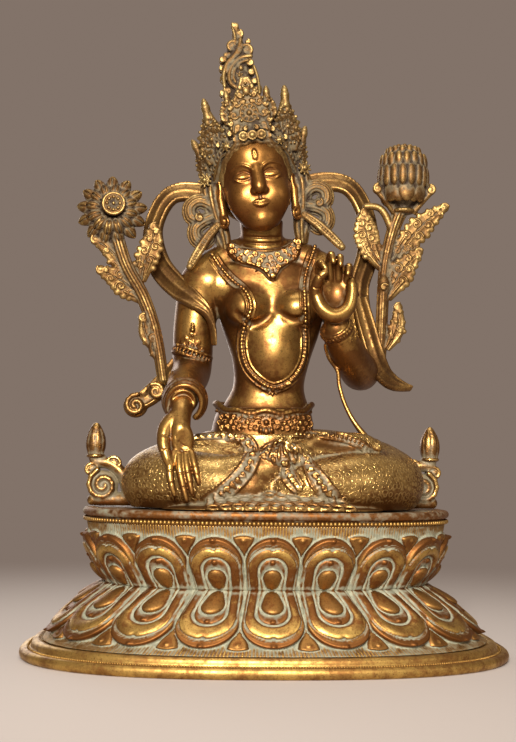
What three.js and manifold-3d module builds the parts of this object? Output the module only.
// A seated Tara in gilt bronze on a double lotus base, with an open lotus and a lotus bud at its shoulders.
// Millimetres, +Z up, the figure faces -Y. The origin is on the floor, under the middle of the base.
// Four castings: the lotus base, the figure that sits on it, and the two lotus sprays pinned to its scarf.
import * as THREE from "three";
import Module from "manifold-3d";
import { mergeVertices } from "three/addons/utils/BufferGeometryUtils.js";

// Driving dimensions.
const BASE_WIDTH = 240;
const BASE_DEPTH = 156;
const BASE_HEIGHT = 72;
const FIGURE_HEIGHT = 255; // from the seat to the tip of the topknot
const SEAT_GAP = 0.3; // between two castings that rest on each other
const PETALS = 18; // in each tier of the lotus base
const BRONZE = new THREE.Color(0.55, 0.4, 0.16);
const GILT = new THREE.Color(0.72, 0.53, 0.2);

const wasm = await Module();
wasm.setup();

const vec = (x, y, z) => new THREE.Vector3(x, y, z);

// A closed three.js geometry as a solid, facing outwards.
function solid(geometry, matrix = new THREE.Matrix4()) {
  const bare = new THREE.BufferGeometry().setAttribute(
    "position",
    (geometry.index ? geometry.toNonIndexed() : geometry).getAttribute("position").clone(),
  );
  const merged = mergeVertices(bare.applyMatrix4(matrix), 1e-4);
  const vertProperties = merged.attributes.position.array;
  const closed = (triVerts) => new wasm.Manifold(new wasm.Mesh({ numProp: 3, vertProperties, triVerts }));
  const faces = new Uint32Array(merged.index.array);
  const made = closed(faces);
  return made.volume() > 0 ? made : closed(faces.reverse());
}

const join = (solids) => solids.flat(Infinity).reduce((whole, part) => whole.add(part));

// A skin over a row of rings, closed at both ends. Rings may differ in how many points they have.
function loft(rings) {
  const starts = rings.map((_, r) => rings.slice(0, r).reduce((sum, ring) => sum + ring.length, 0));
  const points = rings.flat();
  const faces = [];
  for (let r = 0; r + 1 < rings.length; r++) {
    const [n, m] = [rings[r].length, rings[r + 1].length];
    const [lower, upper] = [(i) => starts[r] + (i % n), (j) => starts[r + 1] + (j % m)];
    const span = (i, j) => points[lower(i)].distanceTo(points[upper(j)]);
    for (let i = 0, j = 0; i < n || j < m; ) {
      const [next, other] = [(i + 1) * m, (j + 1) * n];
      const lowerFirst = next === other ? span(i + 1, j) <= span(i, j + 1) : next < other;
      if (j === m || (i < n && lowerFirst)) faces.push(lower(i), lower(++i), upper(j));
      else faces.push(lower(i), upper(j + 1), upper(j++));
    }
  }
  const last = rings.length - 1;
  const middles = [rings[0], rings[last]].map((ring) =>
    ring.reduce((sum, p) => sum.add(p), vec(0, 0, 0)).divideScalar(ring.length),
  );
  for (let i = 0; i < rings[0].length; i++) faces.push(points.length, (i + 1) % rings[0].length, i);
  for (let i = 0; i < rings[last].length; i++)
    faces.push(points.length + 1, starts[last] + i, starts[last] + ((i + 1) % rings[last].length));
  const geometry = new THREE.BufferGeometry().setFromPoints([...points, ...middles]);
  geometry.setIndex(faces);
  return solid(geometry);
}

// A ball stretched to three radii, turned and placed.
function ball(at, radii, sides, turn = [0, 0, 0]) {
  const [rx, ry, rz] = radii;
  const place = new THREE.Matrix4().compose(
    vec(...at),
    new THREE.Quaternion().setFromEuler(new THREE.Euler(...turn)),
    vec(rx, ry, rz),
  );
  const upright = new THREE.Matrix4().makeRotationX(Math.PI / 2);
  return solid(new THREE.SphereGeometry(1, sides, Math.ceil(sides * 0.6)), place.multiply(upright));
}

const curve = (points) =>
  new THREE.CatmullRomCurve3(points.map((p) => vec(...p)), false, "centripetal");

// A value between the given ones, which are spread evenly along 0 to 1.
function along(values, t) {
  const last = values.length - 1;
  const i = Math.min(Math.floor(t * last), last - 1);
  return last ? values[i] + (values[i + 1] - values[i]) * (t * last - i) : values[0];
}

// A round limb or stem along a curve, with its radii spread along it.
function limb(points, radii, { sides, steps, flat = 1, domed = true }) {
  const line = curve(points);
  const frames = line.computeFrenetFrames(steps, false);
  const dome = 0.55; // an end ring's radius, as a share of the limb's
  const rings = [];
  for (let i = 0; i <= steps; i++) {
    const at = line.getPointAt(i / steps);
    const r = along(radii, i / steps);
    const ring = (centre, share) =>
      Array.from({ length: sides }, (_, s) => {
        const angle = (2 * Math.PI * s) / sides;
        return centre
          .clone()
          .addScaledVector(frames.normals[i], r * share * Math.cos(angle))
          .addScaledVector(frames.binormals[i], r * share * flat * Math.sin(angle));
      });
    const out = frames.tangents[i].clone().multiplyScalar(r * 0.45);
    if (domed && i === 0) rings.push(ring(at.clone().sub(out), dome));
    rings.push(ring(at, 1));
    if (domed && i === steps) rings.push(ring(at.clone().add(out), dome));
  }
  return loft(rings);
}

// A flat band along a curve, such as a scarf or a leaf. Its face looks along facing, and its middle
// stands proud by crest. Grow makes it larger all round.
function band(points, widths, thickness, { facing = [[0, -1, 0]], steps, crest = 0, grow = 0 }) {
  const line = curve(points);
  const rings = [];
  for (let i = 0; i <= steps; i++) {
    const t = i / steps;
    const tangent = line.getTangentAt(t);
    const look = vec(...[0, 1, 2].map((axis) => along(facing.map((f) => f[axis]), t)));
    const across = tangent.clone().cross(look).normalize();
    const out = across.clone().cross(tangent).normalize();
    const half = along(widths, t) / 2 + grow;
    const back = thickness / 2 + grow;
    const corner = (a, o) => line.getPointAt(t).addScaledVector(across, a).addScaledVector(out, o);
    rings.push([
      corner(-half, -back),
      corner(half, -back),
      corner(half, back),
      corner(0, back + crest),
      corner(-half, back),
    ]);
  }
  return loft(rings);
}

// A flat spiral in the XZ plane that winds in from its outer radius, square in section.
const VOLUTE_STEPS = 6;
function volute(at, radius, turns, thickness, { start, hand }) {
  const points = Array.from({ length: VOLUTE_STEPS + 1 }, (_, i) => {
    const t = i / VOLUTE_STEPS;
    const angle = start + hand * turns * 2 * Math.PI * t;
    const r = radius * (1 - 0.8 * t);
    return [at[0] + r * Math.cos(angle), at[1], at[2] + r * Math.sin(angle)];
  });
  return limb(points, [thickness, thickness * 0.8], { sides: 4, steps: VOLUTE_STEPS });
}

// The plan of the base is a superellipse, with a flatter front and fuller corners than an ellipse.
const PLAN_POWER = 2.5;
function planPoint(angle, halfWidth, halfDepth) {
  const side = (c) => Math.sign(c) * Math.abs(c) ** (2 / PLAN_POWER);
  return [halfWidth * side(Math.cos(angle)), halfDepth * side(Math.sin(angle))];
}

// The angle at a share of the way round the plan's outline, from the middle of the front.
const OUTLINE_STEPS = 720;
const outlineAngles = Array.from(
  { length: OUTLINE_STEPS + 1 },
  (_, i) => -Math.PI / 2 + (2 * Math.PI * i) / OUTLINE_STEPS,
);
const outlineRuns = [0];
outlineAngles.reduce((before, angle) => {
  const [a, b] = [before, angle].map((at) => vec(...planPoint(at, BASE_WIDTH, BASE_DEPTH), 0));
  outlineRuns.push(outlineRuns[outlineRuns.length - 1] + a.distanceTo(b));
  return angle;
});
function angleAt(share) {
  const wanted = outlineRuns[OUTLINE_STEPS] * ((share + 1) % 1);
  const i = Math.max(1, outlineRuns.findIndex((run) => run >= wanted));
  const part = (wanted - outlineRuns[i - 1]) / (outlineRuns[i] - outlineRuns[i - 1]);
  return outlineAngles[i - 1] + part * (outlineAngles[i] - outlineAngles[i - 1]);
}

// The base's profile: how far it draws in from the widest roll, and the height.
const FOOT_ROLL = 5.5;
const RIM_ROLL = 4;
const RIM_INSET = 29;
const RIM_SOFTENING = 2.5;
const WAIST = { inset: 42, z: 36 };
const LOWER_TIP = { inset: 16, z: FOOT_ROLL + 6.5 };
const UPPER_TIP = { inset: RIM_INSET + 3, z: BASE_HEIGHT - RIM_ROLL - 7.5 };
const LOWER_BULGE = 7; // how far the petals stand out of the tier's slope
const UPPER_BULGE = 6;

// A petal from the waist to its tip. Each row gives, from the petal's middle to the valley beside it,
// the place across in petal widths, the place along in petal lengths and the height in bulges.
const PETAL = [
  [[0, 0.34, 1], [0.12, 0.34, 0.75], [0.2, 0.34, 0.5], [0.38, 0.34, 0.6], [0.5, 0.34, -0.1]],
  [[0, 0.72, 1.2], [0.13, 0.74, 0.85], [0.23, 0.76, 0.72], [0.44, 0.76, 0.85], [0.5, 0.72, -0.3]],
  [[0, 1.12, 0.75], [0.12, 1.1, 0.73], [0.24, 1.04, 0.68], [0.37, 0.92, 0.6], [0.5, 0.9, 0.05]],
];

function planAt(angle, inset) {
  const halfWidth = BASE_WIDTH / 2 - inset;
  return vec(...planPoint(angle, halfWidth, (halfWidth * BASE_DEPTH) / BASE_WIDTH), 0);
}

// One tier's rings from the waist to the tips, each row of the petal repeated round the outline.
function petalRings(tip, bulge) {
  const slope = vec(WAIST.inset - tip.inset, 0, tip.z - WAIST.z).normalize();
  const out = Math.abs(slope.z);
  const rise = -Math.sign(slope.z) * slope.x;
  return PETAL.map((row) => {
    const marks = [...row.slice(1, -1).reverse().map(([across, up, high]) => [-across, up, high]), ...row];
    const ring = Array.from({ length: PETALS }, (_, petal) =>
      marks.map(([across, up, high]) => {
        const angle = angleAt((petal + across) / PETALS);
        const drawn = WAIST.inset + (tip.inset - WAIST.inset) * up - high * bulge * out;
        return planAt(angle, drawn).setZ(WAIST.z + (tip.z - WAIST.z) * up + high * bulge * rise);
      }),
    ).flat();
    return [...ring.slice(row.length - 2), ...ring.slice(0, row.length - 2)];
  });
}

// A plain ring round the base, drawn in from its widest roll.
const PLAIN_SIDES = 2 * PETALS;
const plainRing = (inset, z) =>
  Array.from({ length: PLAIN_SIDES }, (_, k) => planAt(angleAt(k / PLAIN_SIDES), inset).setZ(z));

// The foot roll's rings give how far each draws in and its height as a share of the roll's.
// The slope behind it gives how far each ring draws in and how far it stands above the roll.
const ROLL_RINGS = [[1.5, 0], [0, 0.35], [0.5, 0.85]];
const SLOPE_RINGS = [[5, 1], [10, 3], [LOWER_TIP.inset + 5, 5]];

function lotusBase() {
  return loft([
    ...ROLL_RINGS.map(([inset, share]) => plainRing(inset, FOOT_ROLL * share)),
    ...SLOPE_RINGS.map(([inset, above]) => plainRing(inset, FOOT_ROLL + above)),
    ...petalRings(LOWER_TIP, LOWER_BULGE).reverse(),
    plainRing(WAIST.inset, WAIST.z),
    ...petalRings(UPPER_TIP, UPPER_BULGE),
    plainRing(RIM_INSET + RIM_SOFTENING, BASE_HEIGHT - RIM_ROLL - 1),
    plainRing(RIM_INSET, BASE_HEIGHT - RIM_ROLL * 0.75),
    plainRing(RIM_INSET, BASE_HEIGHT - RIM_ROLL * 0.25),
    plainRing(RIM_INSET + RIM_SOFTENING, BASE_HEIGHT),
  ]);
}

// The figure and its sprays are drawn at this height, in millimetres above the seat, and then scaled.
const DRAWN_HEIGHT = 252;

// A skin over level ovals, each given as height, half width, half depth, and its middle's y and x.
function stack(rows, sides) {
  return loft(
    rows.map(([z, halfWidth, halfDepth, y, x = 0]) =>
      Array.from({ length: sides }, (_, s) => {
        const angle = (2 * Math.PI * (s + 0.5)) / sides;
        return vec(x + halfWidth * Math.cos(angle), y + halfDepth * Math.sin(angle), z);
      }),
    ),
  );
}

const TORSO = [
  [8, 30, 24, 8, -2],
  [30, 26, 20, 9, -2],
  [48, 24, 17, 8, -1],
  [60, 18, 13.5, 7, 1],
  [73, 19.5, 15, 5, 2],
  [90, 25, 15.5, 5, 2],
  [103, 28, 15.5, 5, 1],
  [113, 32, 14, 5, 0],
  [120, 27, 12, 5, -1],
  [125, 15, 10.5, 4, -2],
  [130, 11.5, 9.5, 3, -2.5],
  [142, 11.5, 9.5, 0, -4],
];

// The front of the chest and belly at a place across them and a height.
function torsoFront(x, z, proud = 0) {
  const k = TORSO.findIndex((row) => row[0] > z);
  const share = (z - TORSO[k - 1][0]) / (TORSO[k][0] - TORSO[k - 1][0]);
  const [halfWidth, halfDepth, y, middle] = [1, 2, 3, 4].map(
    (column) => TORSO[k - 1][column] + share * (TORSO[k][column] - TORSO[k - 1][column]),
  );
  const across = Math.min(0.95, Math.abs(x - middle) / halfWidth);
  return [x, y - halfDepth * Math.sqrt(1 - across * across) - proud, z];
}

function torso() {
  const bust = [-1, 1].map((side) => ball([1 + side * 12.5, -6, 99], [10.5, 9, 10], 7));
  const girdle = stack([[33, 28, 21.5, 8, -2], [46, 26.5, 19.5, 8, -1], [49, 24, 17, 8, -1]], 10);
  const medallion = ball([-1, -12, 43], [6, 3, 5], 6);
  return [stack(TORSO, 10), bust, girdle, medallion];
}

// The collar and the long necklace lie on the chest.
function jewels() {
  const collarLine = [[-15, 125], [-11, 119], [-1, 112.5], [9, 119], [12, 125]];
  const collar = collarLine.map(([x, z]) => torsoFront(x, z, 0.5));
  const chain = [
    [-20, 121],
    [-19, 108],
    [-15, 92],
    [-13, 78],
    [-10, 65],
    [-1, 58],
    [11, 65],
    [16, 78],
    [18, 92],
    [21, 108],
    [18, 121],
  ].map(([x, z]) => torsoFront(x, z, 90 < z && z < 110 ? 3 : 0.6));
  const pendant = ball(torsoFront(-1, 56, 1.5), [3, 2, 4], 6);
  return [
    band(collar, [4, 5, 8, 5, 4], 2.5, { steps: 6 }),
    limb(chain, [2], { sides: 3, steps: 12, domed: false }),
    pendant,
  ];
}

// A hand: a palm and its fingers, each a short limb.
function hand(palm, radii, turn, fingers) {
  return [
    ball(palm, radii, 6, turn),
    ...fingers.map((points) => limb(points, [2.5, 2.3, 1.5], { sides: 4, steps: 2, domed: false })),
  ];
}

const ARM_RADII = [11.5, 9.5, 9, 8, 6.3]; // from the shoulder to the wrist

// The right arm rests on the knee, its hand lowered with the palm out.
const GIVING_ARM = [[-33, 8, 112], [-37, 6, 90], [-38, 4, 66], [-41, -16, 57], [-42.5, -33, 45]];
function givingArm() {
  return [
    limb(GIVING_ARM, ARM_RADII, { sides: 7, steps: 5, domed: false }),
    limb([[-42, -28, 49.5], [-42.6, -35, 42]], [8, 8], { sides: 6, steps: 1, domed: false }),
    hand([-41.5, -38.5, 31], [8, 4.6, 11], [0.25, 0, 0], [
      [[-45.5, -41, 24], [-45, -44, 14], [-43.5, -45, 5]],
      [[-42, -41, 23], [-41, -45, 12], [-39.8, -46, 2.5]],
      [[-38.5, -41, 23], [-37, -45, 13], [-36, -46, 5]],
      [[-35.5, -40, 24], [-33.5, -44, 16], [-32.5, -45, 9]],
      [[-47.5, -39, 34], [-49.5, -42, 26], [-48, -43.5, 18]],
    ]),
  ];
}

// The left hand is raised before the chest, thumb and first finger joined.
const TEACHING_ARM = [[33, 8, 113], [40, 7, 88], [45, 3, 62], [37, -16, 70], [31, -28, 84]];
function teachingArm() {
  return [
    limb(TEACHING_ARM, ARM_RADII, { sides: 7, steps: 5, domed: false }),
    limb([[33, -25, 79], [30.8, -30, 89]], [7.5, 7], { sides: 6, steps: 1, domed: false }),
    hand([30.5, -32, 95], [8, 5, 9], [-0.2, 0, 0], [
      [[25, -34, 101], [22.5, -37, 109], [23, -41, 103]],
      [[28.5, -34, 102], [27.5, -37, 113], [28, -41, 116]],
      [[32, -34, 102], [32, -37, 113], [32, -41, 117]],
      [[35.5, -34, 101], [36.5, -37, 110], [36.5, -41, 114]],
      [[25, -34, 92], [22, -38, 96], [22.5, -41, 101]],
    ]),
  ];
}

// Crossed legs with the right foot on the left thigh, the sole turned up.
const THIGHS = [
  [[-15, 10, 18], [-40, -2, 17], [-58, -11, 13.5]],
  [[15, 10, 18], [44, -2, 18], [63.5, -11, 14]],
];
const SHINS = [
  [[-57, -13, 13], [-30, -32, 13], [14, -40, 10]],
  [[63, -13, 13.5], [36, -32, 13], [-10, -40, 9]],
];
const BARE_SHIN = [[-24, -34, 19], [0, -35, 24], [20, -30, 27]];
const FOOT = [[16, -31, 27], [34, -27, 31], [54, -23, 30]];
function legs() {
  return [
    THIGHS.map((points) => limb(points, [19, 16.5, 14.5], { sides: 8, steps: 2 })),
    SHINS.map((points) => limb(points, [14, 13, 9], { sides: 8, steps: 3 })),
    ball([0, -14, 12], [44, 26, 14], 8),
    limb(BARE_SHIN, [9, 9, 7], { sides: 6, steps: 2, domed: false }),
    limb(FOOT, [6, 6.5, 5], { sides: 6, steps: 3, flat: 0.6 }),
  ];
}

// The skirt's edge spreads over the seat in front in tongues.
const TONGUES = 7;
function frontDrapery() {
  return Array.from({ length: TONGUES }, (_, k) => {
    const across = k / (TONGUES - 1) - 0.5;
    const [x, y] = [2 + 104 * across, -54 + 16 * across * across];
    const path = [[x * 0.8, y + 16, 4], [x * 0.95, y + 6, 3], [x, y, 1]];
    return band(path, [14, 16, 10], 3, { steps: 2, facing: [[0, -0.3, 1]], crest: 1 });
  });
}

// The head is built upright on its own axes, then tilted.
const HEAD_PLACE = new THREE.Matrix4().compose(
  vec(-4.5, -2, 136),
  new THREE.Quaternion().setFromEuler(new THREE.Euler(0.05, (-6 * Math.PI) / 180, 0)),
  vec(1, 1, 1),
);
const HEAD = [
  [0, 6, 5.5, -7],
  [3, 9.5, 9, -5],
  [10, 13.5, 13.5, -2],
  [19, 16.3, 16.5, 0],
  [28, 17.3, 17.5, 1],
  [38, 17, 18, 1.5],
  [50, 14, 15, 3],
];
const onHead = (made) => made.transform(HEAD_PLACE.elements);

function face() {
  const noseRows = [[16.5, 1, 0.8, -15], [17.5, 3.6, 3.6, -16.6], [24, 2, 3, -16], [31, 1.4, 1.6, -15.6]];
  const nose = stack(noseRows, 6);
  const lips = ball([0, -14.2, 10.5], [4.2, 2.4, 2.2], 6);
  const eyes = [-1, 1].map((side) => ball([side * 7.2, -14.4, 25.5], [4.2, 1.8, 1.8], 6));
  const ears = [-1, 1].map((side) => {
    const path = [[side * 17, 2, 31], [side * 19, 2, 22], [side * 18.5, 1, 10]];
    return limb(path, [2.6, 2.4, 3], { sides: 4, steps: 2 });
  });
  return [stack(HEAD, 12), nose, lips, eyes, ears];
}

function hair() {
  const locks = [-1, 1].map((side) =>
    limb([[side * 17, 8, 30], [side * 21, 7, 12], [side * 19, 8, -8]], [6, 6, 4.5], { sides: 5, steps: 2 }),
  );
  return [ball([0, 5, 34], [17.5, 18.5, 24], 8), ball([0, 8, 60], [12, 12, 14], 6), locks];
}

// Five leaves stand around the head on a band, the tallest in front.
const CROWN_LEAVES = [
  { turn: 0, foot: 43, height: 38, lean: 0.1 },
  { turn: 50, foot: 38, height: 35, lean: 0.28 },
  { turn: 84, foot: 28, height: 29, lean: 0.42 },
];
function crownLeaf({ turn, foot, height, lean }) {
  const angle = (turn * Math.PI) / 180;
  const outward = vec(Math.sin(angle), -Math.cos(angle), 0);
  const at = (up) => [
    outward.x * (20.5 + lean * up * height),
    4 + outward.y * (18.5 + lean * up * height),
    foot + up * height,
  ];
  const leaf = band([at(-0.1), at(0.35), at(0.7), at(1)], [14, 20, 20, 17, 13, 8, 1], 3, {
    steps: 3,
    facing: [[Math.sin(angle * 0.6), -Math.cos(angle * 0.6), 0.2]],
    crest: 2,
  });
  return turn ? leaf : [leaf, ball(at(0.34), [4.4, 4.4, 4.4], 6)];
}

function crown() {
  const [front, ...sides] = CROWN_LEAVES;
  const leaves = [...sides.map((leaf) => ({ ...leaf, turn: -leaf.turn })).reverse(), front, ...sides];
  const path = leaves.map(({ turn, foot }) => {
    const angle = (turn * Math.PI) / 180;
    return [19.5 * Math.sin(angle), 4 - 17.5 * Math.cos(angle), foot + 1];
  });
  return [limb(path, [3.6], { sides: 5, steps: 6, domed: false }), leaves.map(crownLeaf)];
}

// Above the hair knot the topknot ends in a flame of scrolls.
function topknot() {
  const flame = stack(
    [
      [66, 11, 9, 9],
      [77, 11.5, 7, 10],
      [84, 8.5, 5, 11],
      [93, 10, 4.5, 12],
      [103, 7, 3.6, 13],
      [109, 4, 2.8, 13, 0.5],
      [116, 0.8, 0.8, 13, -0.5],
    ],
    6,
  );
  const scrolls = [-1, 1].map((side) =>
    volute([side * 6, 11, 96], 4.6, 1.1, 1.7, { start: side > 0 ? Math.PI : 0, hand: side }),
  );
  return [flame, scrolls];
}

// Rosettes over the ears hold ribbons that hang beside the neck.
function hairRibbons() {
  return [-1, 1].map((side) => {
    const rosette = ball([side * 25, 3, 20], [7, 3.5, 7], 6);
    const ribbon = [[side * 25, 4, 20], [side * 29, 5, 4], [side * 36, 4, -9]];
    const pleats = [[side * 22, 5, 20], [side * 33, 6, 27], [side * 38, 6, 38]];
    return [rosette, band(ribbon, [6, 8, 11], 2.5, { steps: 2 }), band(pleats, [6, 9, 5], 3, { steps: 2 })];
  });
}

// The scarf rises behind the crown, loops out past each shoulder and ends beside the elbow.
const SCARF_THICKNESS = 2.6;
const SCARVES = [
  {
    points: [[-12, 16, 150], [-33, 16, 161], [-50, 16, 160], [-59, 15, 143], [-56, 10, 123], [-46, 3, 109]],
    widths: [9, 12, 12, 12, 13, 12],
  },
  {
    points: [
      [6, 16, 158],
      [24, 16, 168],
      [42, 16, 167],
      [52, 15, 150],
      [52, 11, 130],
      [47, 7, 110],
      [50, 5, 88],
    ],
    widths: [9, 12, 12, 12, 13, 12, 12],
  },
];
const SCARF_TAILS = [
  { points: [[-43, 6, 74], [-54, 2, 62], [-64, -1, 52], [-76, -2, 49]], widths: [10, 13, 12, 10] },
  { points: [[50, 5, 90], [53, 5, 74], [61, 7, 63], [76, 8, 59]], widths: [12, 12, 10, 2] },
];
const scarf = ({ points, widths }, grow = 0) =>
  band(points, widths, SCARF_THICKNESS, { steps: points.length + 2, crest: 0.8, grow });
const scarfRoll = () => volute([-75, -2, 48], 5, 1, 2.2, { start: Math.PI / 2, hand: 1 });

function armlets() {
  return [GIVING_ARM, TEACHING_ARM].map(([top, middle]) => {
    const at = top.map((value, axis) => value * 0.4 + middle[axis] * 0.6);
    const path = [[at[0], at[1] - 9.5, at[2] - 7], [at[0], at[1] - 10.5, at[2] + 9]];
    return band(path, [13, 1.5], 2.5, { steps: 2 });
  });
}

// A scroll and a bud stand on the seat behind each knee.
function kneeFinial(side) {
  const x = side < 0 ? -81 : 79;
  const out = (dx) => x + side * dx;
  const foot = [[out(-24), -1, 4], [out(-6), 4, 3], [out(4), 3, 3]];
  const stalk = [[out(-12), 4, 5], [out(-8), 4, 18], [out(3), 4, 26]];
  const bud = [[21, 3, 3], [27, 5.5, 4.5], [33, 5, 4], [41, 1, 1]];
  return [
    ball([x, 3, 10], [9, 4, 9], 8),
    ball([x, -1, 10], [3, 2.5, 3], 5),
    limb(foot, [4, 4, 3], { sides: 5, steps: 2, domed: false }),
    limb(stalk, [4, 3.6, 3.4], { sides: 5, steps: 2, domed: false }),
    stack(bud.map((row) => [...row, 4, out(4)]), 6),
  ];
}

// A thin tendril falls from the raised hand to the thigh.
const TENDRIL = [[28, -30, 80], [30, -31, 62], [34.5, -31, 47], [48, -26, 33], [50, -24, 28]];
const tendril = () => limb(TENDRIL, [1.8, 1.6, 1.8, 2.6], { sides: 5, steps: 8 });

// Spaces closed in between the parts of one casting are filled.
function casting(parts) {
  const made = join(parts);
  return join(made.decompose().filter((shell) => shell.volume() > 0));
}

function belowSeat() {
  const size = 3 * DRAWN_HEIGHT;
  const down = new THREE.Matrix4().makeTranslation(0, 0, -size / 2);
  return solid(new THREE.BoxGeometry(size, size, size), down);
}

function figure() {
  const head = [face(), hair(), crown(), topknot(), hairRibbons()].flat(Infinity).map(onHead);
  const body = [torso(), jewels(), givingArm(), teachingArm(), armlets(), tendril()];
  const seat = [legs(), frontDrapery(), [-1, 1].map(kneeFinial)];
  const scarves = [...SCARVES, ...SCARF_TAILS].map((one) => scarf(one));
  return casting([head, body, seat, scarves, scarfRoll()]).subtract(belowSeat());
}

// A leaf of a spray: a tapered band along a curve with a raised middle.
const leaf = (points, widths) => band(points, widths, 2.2, { steps: 3, crest: 1.2 });

const OPEN_STEM = [[-52, -3, 62], [-57, -2, 88], [-63, -1, 104], [-72, -3, 120], [-79, -3, 143]];
const OPEN_FLOWER = { at: [-79, -5, 146.5], radius: 17.5, petals: 10 };
function openFlower() {
  const { at, radius, petals } = OPEN_FLOWER;
  const star = (y, tips, valleys, turn = 0) =>
    Array.from({ length: 2 * petals }, (_, k) => {
      const angle = (Math.PI * (k + turn)) / petals;
      const r = radius * (k % 2 ? valleys : tips);
      return vec(at[0] + r * Math.cos(angle), at[1] + y, at[2] + r * Math.sin(angle));
    });
  return loft([
    star(5, 0.3, 0.3),
    star(0.5, 1, 0.72),
    star(-3, 0.66, 0.5),
    star(-3.5, 0.46, 0.42),
    star(-7, 0.2, 0.2),
  ]);
}
function openLotusSpray() {
  return [
    limb(OPEN_STEM, [3, 3, 3.4, 4, 4], { sides: 5, steps: 6, domed: false }),
    openFlower(),
    leaf([[-72, -2, 120], [-84, -3, 128], [-93, -4, 131]], [8, 9, 4]),
    leaf([[-62, 0, 104], [-76, -2, 113], [-88, -4, 117]], [6, 11, 3]),
    leaf([[-62, 0, 106], [-59, -2, 122], [-53, -2, 137], [-51, -3, 141]], [6, 10, 9, 3]),
    leaf([[-58, -2, 92], [-64, -3, 88], [-61, -3, 80]], [6, 8, 3]),
    leaf([[-72, -2, 122], [-64, -3, 132], [-61, -4, 130]], [5, 6, 3]),
  ];
}

const BUD_STEM = [[57, 0, 70], [58, 0, 104], [60, 3, 125], [65, 4, 145], [69, 4, 158]];
function budFlower() {
  const rows = [
    [152, 4],
    [157, 9],
    [166, 12.5],
    [175, 12],
    [181, 8],
    [185, 2],
  ];
  return stack(rows.map(([z, r]) => [z, r, r, 4, 69]), 10);
}
function budSpray() {
  return [
    limb(BUD_STEM, [3, 3, 3, 3.6, 4.4], { sides: 5, steps: 5, domed: false }),
    budFlower(),
    [-9, 9].map((reach) => leaf([[69, 2, 152], [69 + reach, 1, 157], [69 + reach * 1.7, 2, 163]], [6, 7, 3])),
    leaf([[61, 4, 126], [74, 3, 133], [82, 3, 144], [94, 3, 157]], [6, 11, 12, 3]),
    leaf([[59, 1, 112], [68, 1, 117], [76, 2, 128]], [6, 10, 4]),
    leaf([[60, 4, 124], [54, 4, 134], [50, 4, 146], [48, 4, 153]], [6, 11, 12, 5]),
    ball([63, -1, 92.5], [4.4, 4, 6.5], 6),
  ];
}

// A spray is cut to leave a clear seat against the scarf, its tail and the arm that it stands beside.
function spray(parts, side, arm) {
  const grownRadii = ARM_RADII.map((radius) => radius + SEAT_GAP);
  const neighbours = [
    scarf(SCARVES[side], SEAT_GAP),
    scarf(SCARF_TAILS[side], SEAT_GAP),
    limb(arm, grownRadii, { sides: 7, steps: 5, domed: false }),
  ];
  return casting(parts).subtract(join(neighbours));
}

function toMesh(name, made, color) {
  const { numProp, vertProperties, triVerts } = made.getMesh();
  const geometry = new THREE.BufferGeometry();
  geometry.setAttribute("position", new THREE.BufferAttribute(vertProperties, numProp));
  geometry.setIndex(new THREE.BufferAttribute(triVerts, 1));
  geometry.computeVertexNormals();
  const material = new THREE.MeshStandardMaterial({ color, roughness: 0.4, metalness: 1 });
  const mesh = new THREE.Mesh(geometry, material);
  mesh.name = name;
  return mesh;
}

const seated = new THREE.Group();
seated.position.z = BASE_HEIGHT + SEAT_GAP;
seated.scale.setScalar(FIGURE_HEIGHT / DRAWN_HEIGHT);
seated.add(toMesh("figure", figure(), GILT));
seated.add(toMesh("open_lotus_spray", spray(openLotusSpray(), 0, GIVING_ARM), GILT));
seated.add(toMesh("lotus_bud_spray", spray(budSpray(), 1, TEACHING_ARM), GILT));

const group = new THREE.Group();
group.add(toMesh("lotus_base", lotusBase(), BRONZE));
group.add(seated);
export default group;
